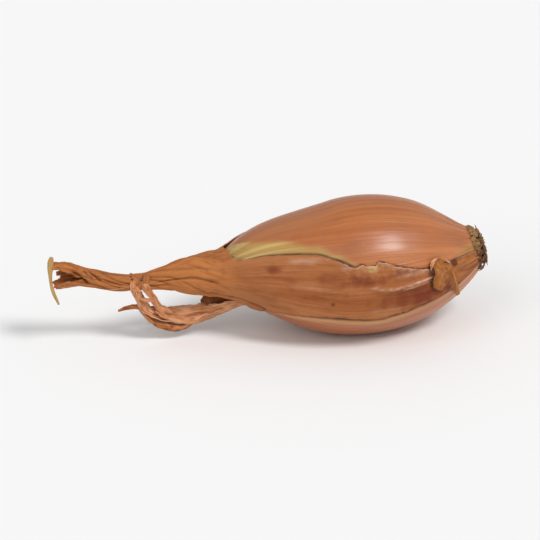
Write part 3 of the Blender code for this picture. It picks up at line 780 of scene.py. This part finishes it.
def make_flake(material):
    """The mustard flake that has come up at the panel's end, with the narrow strip beside it."""
    bm, layers = mesh_with_marks(SKIN_MARKS)

    def place(u, v):
        side = 2 * v - 1
        rounded = math.sqrt(max(0, 1 - (abs(side) ** 2.6)))
        torn_edge = 0.5 * wobble(side * 2.3, 1.1, 0) + 0.3 * wobble(side * 9, 2.1, 0)
        jagged = torn_edge + 0.3 * wobble(side * 5, 5.1, 0) + 0.2 * wobble(side * 15, 6, 0)
        near = (2.2 + 0.4 * hill(-0.45, 0.5, side) - 0.35 * hill(0.3, 0.4, side)) * rounded
        far = (2.2 - 0.6 * ramp(-0.4, -1, side) - 1.4 * ramp(0.1, 1, side)) * rounded
        x = mixed(FLAKE_NEAR - near + 0.7 * torn_edge, FLAKE_FAR + far + 0.7 * jagged * rounded, u)
        angle = FLAKE_ANGLE + FLAKE_HALF_SPAN * side
        bumps = wobble(u * 3, side * 3, 4)
        folds = wobble(u * 7, side * 5, 2)
        raised = 0.16 + 1.25 * (1 - u) ** 1.6 * (1 - 0.5 * side * side)
        raised += 0.25 * math.sin(math.pi * u) * (1 - side**2) + 0.2 * bumps + 0.12 * folds
        border = max(abs(side), abs(2 * u - 1))
        # Painted shade on the flake's lower far corner
        shaded = 0.5 * ramp(0.35, 1, u) * ramp(0.4, -1, side)
        marks = {
            "edge": 0.15 * ramp(0.93, 1, border) * (0.5 + 0.5 * wobble(u * 5, side * 5, 1)),
            # Painted shade: on the lower far corner, at the lifted near side, and in the hollows of its
            # folds and bumps
            "crease": shaded + 0.45 * ramp(0.2, 0, u) + 0.5 * max(0, -folds) + 0.3 * max(0, -bumps),
            "gold": 0.8 + 0.8 * wobble(u * 2.5, side * 2.5, 6),
            # painted highlight on the crests of its bumps and folds
            "straw": 0.35 * max(0, bumps + folds),
        }
        return on_skin(x, angle, raised), Vector((x, side * 9, u * 5)), marks

    def peel(stops, *settings, **more):
        add_peel(bm, layers, [on_skin(*stop) for stop in stops], *settings, **more)

    add_sheet(bm, layers, 34, 44, place)
    beside = ((22, 7, 0.1), (22.1, 0, 0.3), (22.4, -12, 0.35), (22.8, -26, 0.55), (23.2, -38, 0.4))
    peel(beside, (0.4, 0.9, 1.2, 1.7, 1), outward(22.5, 0), 30, last_face=outward(23.6, -40),
         cuts=(34, 9), gold=0.8, straw=0.25, dark=0.6, torn=0.5)
    near_curl = ((16, 13, 0.3), (16.3, 17, 0.8), (17, 20.5, 0.9), (18.3, 22.8, 0.3))
    peel(near_curl, (0.4, 1, 1.3, 0.5), outward(17, 16), 31,
         curl=1.2, ruffle=0.45, cuts=(26, 8), light=1.6, dark=0.4, torn=0.9)
    far_curl = ((20.4, 19.5, 0.15), (21, 18.5, 0.3), (21.6, 15.5, 0.2))
    peel(far_curl, (0.3, 0.6, 0.4), outward(20, 20), 32,
         curl=1, ruffle=0.3, cuts=(16, 6), light=1.4, dark=0.5, torn=0.8)
    bmesh.ops.remove_doubles(bm, verts=bm.verts, dist=0.001 * MM)
    face_outwards(bm)
    finished(bm, "lifted_flake", "outer_skin", material, FLAKE_THICKNESS)


# The roots

PLATE_RADIUS = 4.3
PLATE_THICKNESS = 1.3
# How many wisps leave the plate, and how many stubs and knobs sit round its rim
ROOTLETS, COLLAR_ROOTS, COLLAR_LUMPS = 190, 40, 70
ROOT_SEED = 23


def on_plate(angle, out, up):
    """A point out from the middle of the bulb's root end, and up from that end towards the roots."""
    return middle(ROOT_END) + outward(ROOT_END, angle) * out + along(ROOT_END) * up


def place_on_plate(at):
    angle = math.degrees(math.atan2(at.y, at.x))
    out = math.hypot(at.x, at.y) ** 0.7
    deep = math.copysign(abs(at.z) ** 0.6, at.z) * PLATE_THICKNESS / 2
    knobs = wobble(at.x * 2.6, at.y * 2.6, 1.7) + 0.6 * wobble(at.x * 7, at.y * 7, 4)
    radius = PLATE_RADIUS * out * (0.96 + 0.06 * cosine(3 * angle + 20) + 0.12 * knobs)
    height = 0.1 + PLATE_THICKNESS / 2 + deep + (0.5 * knobs if at.z > 0 else 0)
    point = on_plate(angle, radius, height)
    return point, at * 5, {"tip": 0.3 + 0.4 * knobs, "green": ramp(0.1, 0.95, sine(angle) * out)}


def add_root(bm, layers, stops, thickness, seed, tip, green):
    """A thin uneven root along stops, rolled from a sheet."""

    def place(u, v):
        heading = (path_at(stops, min(u + 0.03, 1)) - path_at(stops, max(u - 0.03, 0))).normalized()
        side = heading.orthogonal().normalized()
        other = heading.cross(side)
        turn = 2 * math.pi * v
        taper = ramp(0, 0.08, u) * ramp(1, 0.94, u) * mixed(1, 0.5, u)
        radius = thickness * taper * (1 + 0.35 * wobble(u * 4, seed, 0))
        point = path_at(stops, u) + (side * math.cos(turn) + other * math.sin(turn)) * radius
        return point, Vector((u * 3, seed, v)), {"tip": mixed(0.3, 1, u) * tip, "green": green}

    add_sheet(bm, layers, 7, 5, place)


def add_collar_root(bm, layers, draw):
    """A thick stub that bends back from the plate's rim over the bulb's end, mostly above and in front."""
    angle = draw.gauss(60, 80)
    back = draw.uniform(0.2, 1) + draw.uniform(0, 1.1) ** 3
    swing = draw.uniform(-30, 30)
    over = ROOT_END - back
    foot = draw.uniform(0.2, 0.9)
    bent = BULB_SHAPE(ROOT_END - 0.5 * back) + 0.5
    stops = [
        on_plate(angle, PLATE_RADIUS - 1.2, foot),
        on_plate(angle + 0.3 * swing, PLATE_RADIUS + 0.3, foot),
        middle(ROOT_END - 0.3 * back) + outward(ROOT_END, angle + 0.6 * swing) * bent,
        middle(over) + outward(over, angle + swing) * (BULB_SHAPE(over) + 0.15),
    ]
    thickness, seed, tip = draw.uniform(0.1, 0.22), draw.uniform(0, 50), draw.uniform(0, 1) ** 2
    add_root(bm, layers, stops, thickness, seed, tip, ramp(0.1, 0.9, sine(angle)))


def add_collar_lump(bm, layers, draw):
    """A dried knob where the plate's rim meets the bulb's end, mostly above and in front."""
    angle = draw.gauss(72, 50)
    x = ROOT_END - draw.uniform(-0.3, 1.2)
    size = draw.uniform(0.22, 0.62)
    seed = draw.uniform(0, 50)
    up, axis = outward(x, angle), along(x)
    centre = middle(x) + up * (max(BULB_SHAPE(x), PLATE_RADIUS - 0.2) + 0.1)
    green = ramp(-0.1, 0.7, sine(angle))

    def place(at):
        rough = noise.noise(at * 1.8 + Vector((seed, 0, 0)))
        rough += 0.5 * noise.noise(at * 4.6 + Vector((seed, 3, 0)))
        out = size * (1 + 0.45 * rough)
        point = centre + (axis * 1.2 * at.x + axis.cross(up) * 1.1 * at.y + up * 0.75 * at.z) * out
        return point, at * 2 + Vector((seed, 0, 0)), {"tip": max(0, 0.4 + rough), "green": green}

    made = bmesh.ops.create_icosphere(bm, subdivisions=3, radius=1)
    place_points(made["verts"], layers, place)


def add_rootlet(bm, layers, draw, number):
    """A dried root: a thin curled wisp that leaves the plate."""
    angle = 360 * number / ROOTLETS + draw.uniform(-14, 14)
    start = PLATE_RADIUS * math.sqrt(draw.uniform(0.02, 0.92))
    rim = start / PLATE_RADIUS
    reach = draw.uniform(0.4, 1.7) * rim
    height = draw.uniform(0.2, 1) * mixed(1, 0.45, rim)
    swing = draw.uniform(-46, 46)
    thickness = draw.uniform(0.1, 0.22)
    seed = draw.uniform(0, 50)
    foot = 0.1 + PLATE_THICKNESS * mixed(0.95, 0.4, rim**2)
    stops = [
        on_plate(angle, start - 0.3, foot),
        on_plate(angle + 0.2 * swing, start + 0.3 * reach, foot + 0.6 * height),
        on_plate(angle + 0.7 * swing, start + 0.8 * reach, foot + height),
        on_plate(angle + swing, start + 1.1 * reach, foot + height * draw.uniform(0.7, 1.05)),
    ]
    green = ramp(0.2, 1, sine(angle) * rim) * draw.uniform(0.5, 1)
    add_root(bm, layers, stops, thickness, seed, draw.uniform(0, 1) ** 2, green)


def make_roots(material):
    bm, layers = mesh_with_marks(("tip", "green"))
    made = bmesh.ops.create_uvsphere(bm, u_segments=72, v_segments=40, radius=1)
    place_points(made["verts"], layers, place_on_plate)
    draw = random.Random(ROOT_SEED)
    for number in range(ROOTLETS):
        add_rootlet(bm, layers, draw, number)
    for _ in range(COLLAR_ROOTS):
        add_collar_root(bm, layers, draw)
    for _ in range(COLLAR_LUMPS):
        add_collar_lump(bm, layers, draw)
    bmesh.ops.remove_doubles(bm, verts=bm.verts, dist=0.001 * MM)
    bmesh.ops.recalc_face_normals(bm, faces=bm.faces)
    finished(bm, "dried_roots", "root_tuft", material)


# Materials


class Tone:
    """A value or colour on its way through the nodes. Values can be added, scaled and so on like numbers."""

    def __init__(self, nodes, socket):
        self.nodes = nodes
        self.socket = socket

    def __add__(self, other):
        return self.nodes.maths("ADD", self, other)

    __radd__ = __add__

    def __sub__(self, other):
        return self.nodes.maths("SUBTRACT", self, other)

    def __rsub__(self, other):
        return self.nodes.maths("SUBTRACT", other, self)

    def __mul__(self, other):
        return self.nodes.maths("MULTIPLY", self, other)

    __rmul__ = __mul__

    def __abs__(self):
        return self.nodes.maths("ABSOLUTE", self)


class Nodes:
    """The nodes that work out how something looks."""

    def __init__(self, tree):
        self.tree = tree

    def node(self, kind, settings, values, output=0):
        made = self.tree.nodes.new(kind)
        for name, value in settings.items():
            setattr(made, name, value)
        for key, value in values.items():
            self.feed(made.inputs[key], value)
        return Tone(self, made.outputs[output])

    def feed(self, socket, value):
        if isinstance(value, Tone):
            self.tree.links.new(value.socket, socket)
        else:
            socket.default_value = value

    def maths(self, operation, *values):
        return self.node("ShaderNodeMath", {"operation": operation}, dict(enumerate(values)))


class Finish(Nodes):
    """A surface's material, with the nodes that vary it."""

    def __init__(self, name, **even):
        self.material = bpy.data.materials.new(name)
        self.material.use_nodes = True
        super().__init__(self.material.node_tree)
        self.shader = self.tree.nodes["Principled BSDF"]
        self.give(**even)

    def give(self, **tones):
        """Feeds the shader's inputs, named in small letters here."""
        for name, tone in tones.items():
            self.feed(self.shader.inputs[name.replace("_", " ").title().replace("Ior", "IOR")], tone)

    def mark(self, name):
        return self.node("ShaderNodeAttribute", {"attribute_name": name}, {}, output=2)

    def grain(self, length, width):
        """The grain place, so scaled that one unit is length mm along the shallot and width mm across."""
        place = self.node("ShaderNodeAttribute", {"attribute_name": "grain"}, {}, output=1)
        scale = (1 / length, 1 / width, 1 / width)
        return self.node("ShaderNodeVectorMath", {"operation": "MULTIPLY"}, {0: place, 1: scale})

    def noise(self, length, width, detail=2, roughness=0.5):
        place = self.grain(length, width)
        values = {"Vector": place, "Scale": 1, "Detail": detail, "Roughness": roughness}
        return self.node("ShaderNodeTexNoise", {}, values)

    def step(self, value, low, high):
        """0 to 1 as the value goes from low to high, smoothly."""
        values = {0: value, 1: low, 2: high, 3: 0, 4: 1}
        return self.node("ShaderNodeMapRange", {"interpolation_type": "SMOOTHSTEP"}, values)

    def lines(self, length, width, thickness, detail=1):
        """Thin lines: 1 in the middle of a line."""
        return 1 - self.step(abs(self.noise(length, width, detail) - 0.5), 0, thickness)

    def mix(self, a, b, share):
        settings = {"data_type": "RGBA", "clamp_factor": True}
        a, b = ((*tone, 1) if isinstance(tone, tuple) else tone for tone in (a, b))
        return self.node("ShaderNodeMix", settings, {0: share, 6: a, 7: b}, output=2)

    def layered(self, base, *layers):
        """The base with further tones over it, each as (tone, how much it covers)."""
        for tone, share in layers:
            base = self.mix(base, tone, share)
        return base

    def relief(self, *layers):
        """Bumps laid over each other. Each layer is (height, depth in mm)."""
        normal = None
        for height, depth in layers:
            values = {"Strength": 1, "Distance": depth * MM, "Height": height}
            if normal:
                values["Normal"] = normal
            normal = self.node("ShaderNodeBump", {}, values)
        self.give(normal=normal)


COPPER = (0.37, 0.1, 0.018)
LIGHT_COPPER = (0.465, 0.15, 0.036)
BROWN = (0.27, 0.075, 0.02)
ROSY = (0.57, 0.225, 0.097)
DULL_COPPER = (0.36, 0.13, 0.045)
STRAW = (0.42, 0.24, 0.055)
PALE_STRAW = (0.53, 0.37, 0.13)
BELLY_STRAW = (0.56, 0.28, 0.085)
MUSTARD = (0.34, 0.105, 0.011)
PAPER = (0.31, 0.095, 0.024)
LIGHT_PAPER = (0.41, 0.155, 0.053)
DARK_PAPER = (0.2, 0.048, 0.011)
NECK_PAPER = (0.51, 0.178, 0.045)
# The pale tan of the strips and curls, with painted highlight on their crests
PALE_TAN_AND_HIGHLIGHT = (0.78, 0.4, 0.22)
WINE = (0.15, 0.022, 0.003)
# The pale of torn edges, also laid on as painted highlight along ridges and folds
PALE_EDGE_AND_GLINT = (0.72, 0.48, 0.36)
# The dark brown of painted shade in folds, gaps and under edges, and of the skin's dots and the roots'
# specks
SHADE_AND_SPECK_BROWN = (0.075, 0.019, 0.004)
END_BROWN = (0.42, 0.11, 0.015)
ROOT_BROWN = (0.13, 0.043, 0.014)
ROOT_BEIGE = (0.46, 0.28, 0.12)
ROOT_GREEN = (0.44, 0.25, 0.095)


def satin_skin():
    """The bulb's own skin: coppery, satin, with fine veins from neck to root."""
    skin = Finish("satin_skin", coat_roughness=0.22)
    broad = skin.noise(60, 4.5, 3)
    veins = skin.noise(45, 1.5, 2)
    fine = skin.noise(26, 0.55, 2)
    lines = skin.lines(70, 3.2, 0.035)
    hairs = skin.lines(55, 1.3, 0.06)
    clouds = skin.noise(14, 9, 3)
    pores = skin.noise(1.1, 0.7, 3)
    bare, gap = skin.mark("bare"), skin.mark("gap")
    straw = skin.mix(STRAW, PALE_STRAW, skin.step(veins, 0.4, 0.65))
    colour = skin.layered(
        skin.mix(COPPER, LIGHT_COPPER, skin.step(broad * 0.55 + veins * 0.45, 0.38, 0.62)),
        (BROWN, skin.step(clouds, 0.52, 0.75) * 0.35),
        (BROWN, skin.step(fine, 0.52, 0.72) * 0.22),
        (BROWN, lines * 0.3),
        (BROWN, hairs * 0.14),
        (BROWN, skin.step(pores, 0.5, 0.75) * 0.2),
        (ROSY, skin.mark("rosy") * 0.5),
        (DULL_COPPER, skin.mark("dull") * 0.6),
        (BELLY_STRAW, skin.mark("bare_low") * 0.85),
        (STRAW, skin.mark("gold") * 0.7),
        # painted shade in the root creases and the tip's wrinkles
        (BROWN, skin.mark("crease") * 0.5),
        (skin.mix(straw, DULL_COPPER, lines * 0.25), bare),
        # painted shade in the gaps under the panel's edges and round the root end
        (SHADE_AND_SPECK_BROWN, gap * 0.85),
    )
    roughness = 0.33 + fine * 0.1 + clouds * 0.1 + bare * 0.12 + gap * 0.4
    skin.give(base_color=colour, roughness=roughness, coat_weight=0.3 - gap * 0.28)
    skin.relief((broad, 0.25), (veins, 0.13), (lines, 0.05), (fine, 0.045), (pores, 0.035))
    return skin.material


def papery_finish():
    """Dull, dry skin with streaks along it, stains, pale torn edges, painted highlights and painted shade in
    folds.
    """
    skin = Finish("papery", specular_ior_level=0.25)
    dry, stain = skin.mark("dry"), skin.mark("stain")
    over_bulb = 1 - dry
    broad = skin.noise(40, 3.2, 3)
    veins = skin.noise(24, 1, 3) * over_bulb + skin.noise(14, 4.5, 3) * dry
    fine = skin.noise(7, 0.45, 2) * over_bulb + skin.noise(4, 2.2, 2) * dry
    clouds = skin.noise(9, 7, 4)
    lines = skin.lines(40, 2.3, 0.03) * (1 - dry * 0.75)
    crinkles = skin.lines(2.6, 2.2, 0.05, 3)
    mottling = skin.noise(4.5, 2.2, 4, 0.6)
    colour = skin.layered(
        skin.mix(PAPER, LIGHT_PAPER, skin.step(broad * 0.5 + veins * 0.5, 0.36, 0.64)),
        (NECK_PAPER, dry * 0.75),
        (DARK_PAPER, skin.step(clouds, 0.5, 0.78) * 0.5),
        (DARK_PAPER, skin.step(mottling, 0.5, 0.75) * 0.35),
        (LIGHT_PAPER, skin.step(mottling, 0.45, 0.25) * 0.35),
        (DARK_PAPER, lines * 0.35),
        (DARK_PAPER, skin.step(fine, 0.55, 0.75) * (0.3 - dry * 0.12)),
        # pale tan, with painted highlight on the strips' crests
        (PALE_TAN_AND_HIGHLIGHT, skin.mark("light") * 0.7),
        (WINE, stain * (0.7 + veins * 0.6)),
        (MUSTARD, skin.mark("gold") * 0.85),
        (END_BROWN, skin.mark("end") * 0.5),
        # pale straw, which on the flake is painted highlight on its bumps
        (PALE_STRAW, skin.mark("straw") * 0.75),
        # painted shade in the folds and creases, under the torn edges and below the ridges
        (SHADE_AND_SPECK_BROWN, skin.mark("crease") * 0.75),
        # a dark red dot, with painted shade in the pit and painted shadow beside the flake
        (SHADE_AND_SPECK_BROWN, skin.mark("dot") * 0.85),
        # pale torn edges, with painted highlights along the ridges, crumples and folds
        (PALE_EDGE_AND_GLINT, skin.mark("edge") * 0.7),
    )
    skin.give(base_color=colour, roughness=0.5 + clouds * 0.2 + fine * 0.1 - stain * 0.12)
    skin.relief((broad, 0.3), (veins, 0.14), (crinkles, 0.03), (fine, 0.05))
    return skin.material


def root_finish():
    root = Finish("dry_roots_finish")
    patches = root.noise(1.1, 1.1, 3)
    grit = root.noise(0.3, 0.3, 3)
    colour = root.layered(
        root.mix(ROOT_BROWN, ROOT_BEIGE, root.step(patches, 0.48, 0.72) * 0.35),
        (ROOT_BEIGE, root.mark("tip") * 0.35),
        (ROOT_GREEN, root.mark("green") * 0.7),
        (SHADE_AND_SPECK_BROWN, root.step(grit, 0.55, 0.7) * 0.6),
    )
    root.give(base_color=colour, roughness=0.75 + grit * 0.2)
    root.relief((patches, 0.3), (grit, 0.14))
    return root.material


# The studio

ROOM_LIGHT = 0.5
FLOOR_RADIUS = 30
FLOOR_PAINT = (0.89, 0.89, 0.89, 1)
# How bright the floor looks from a low camera, and so the air behind it
FLOOR_BRIGHTNESS = 0.93
# The suns: name, azimuth and elevation, width in the sky in degrees, and strength
LIGHTS = (("key", 36, 50, 18, 1.85), ("fill", -50, 35, 45, 0.6))
# The view, in degrees, metres and, for the sensor, mm
VIEW_AZIMUTH, VIEW_ELEVATION = -10, 24
VIEW_DISTANCE = 1.6
VIEW_WIDTH = 0.137
SENSOR_WIDTH = 36


def direction(azimuth, elevation):
    """The way to a place at an azimuth, counted from the front to the right, and an elevation."""
    flat = cosine(elevation)
    return Vector((sine(azimuth) * flat, -cosine(azimuth) * flat, sine(elevation)))


def aim(thing, target, at):
    thing.location = at
    thing.rotation_euler = (at - target).to_track_quat("Z", "Y").to_euler()
    bpy.context.scene.collection.objects.link(thing)


def add_light(name, azimuth, elevation, spread, strength):
    """A far, soft light, as wide in the sky as its spread."""
    light = bpy.data.lights.new(name, "SUN")
    light.angle = math.radians(spread)
    light.energy = strength
    lamp = bpy.data.objects.new(name, light)
    aim(lamp, Vector(), direction(azimuth, elevation))


def add_floor():
    bm = bmesh.new()
    bmesh.ops.create_circle(bm, cap_ends=True, segments=64, radius=FLOOR_RADIUS)
    mesh = bpy.data.meshes.new("floor")
    bm.to_mesh(mesh)
    bm.free()
    floor = bpy.data.objects.new("floor", mesh)
    paint = Finish("floor_paint", base_color=FLOOR_PAINT, roughness=0.8)
    mesh.materials.append(paint.material)
    bpy.context.scene.collection.objects.link(floor)


def bright_room():
    """Even light from all round. Where the camera looks past the floor, it sees it as pale as the floor."""
    world = bpy.data.worlds.new("studio")
    world.use_nodes = True
    room = Nodes(world.node_tree)
    seen = room.node("ShaderNodeLightPath", {}, {})
    air = world.node_tree.nodes["Background"].inputs
    air["Color"].default_value = (1, 1, 1, 1)
    room.feed(air["Strength"], ROOM_LIGHT + seen * (FLOOR_BRIGHTNESS - ROOM_LIGHT))
    return world


def add_studio():
    add_floor()
    bpy.context.scene.world = bright_room()
    for light in LIGHTS:
        add_light(*light)
    camera = bpy.data.objects.new("camera", bpy.data.cameras.new("camera"))
    camera.data.sensor_width = SENSOR_WIDTH
    camera.data.lens = SENSOR_WIDTH * VIEW_DISTANCE / VIEW_WIDTH
    low, high = (Vector(corner) for corner in CAD_BOX)
    target = (low + high) / 2
    aim(camera, target, target + direction(VIEW_AZIMUTH, VIEW_ELEVATION) * VIEW_DISTANCE)
    bpy.context.scene.camera = camera
    bpy.context.scene.view_settings.view_transform = "Standard"


paper = papery_finish()
make_bulb(satin_skin())
make_papery_skin(paper)
make_torn_strips(paper)
make_flake(paper)
make_roots(root_finish())
add_studio()
